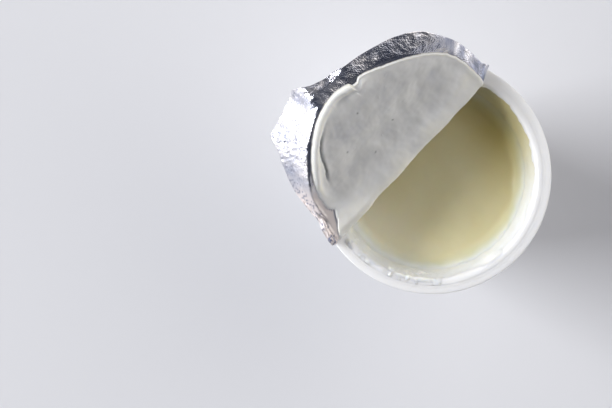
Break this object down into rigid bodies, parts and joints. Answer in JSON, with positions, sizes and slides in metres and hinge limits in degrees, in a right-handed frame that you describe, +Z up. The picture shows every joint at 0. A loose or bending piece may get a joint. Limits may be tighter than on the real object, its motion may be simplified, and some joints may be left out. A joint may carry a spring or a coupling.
{
  "type": "yogurt pot",
  "caption": "Round plastic pot of plain yogurt with its foil lid peeled half open and folded back, a film of yogurt on the lid's inner face.",
  "frame": {"origin": "centre of the flat base, on the table", "axes": "+Z up along the pot's axis, +X from the lid's fold towards the open side, +Y along the fold"},
  "size_m": [0.0875, 0.0762, 0.0915],
  "materials": {
    "pot_plastic": "satin",
    "yogurt": "satin",
    "foil": "satin",
    "yogurt_film": "satin"
  },
  "bodies": {
    "root": {"pot": "pot_plastic", "yogurt": "yogurt", "foil_lid": "foil", "lid_film": "yogurt_film"}
  },
  "joints": []
}
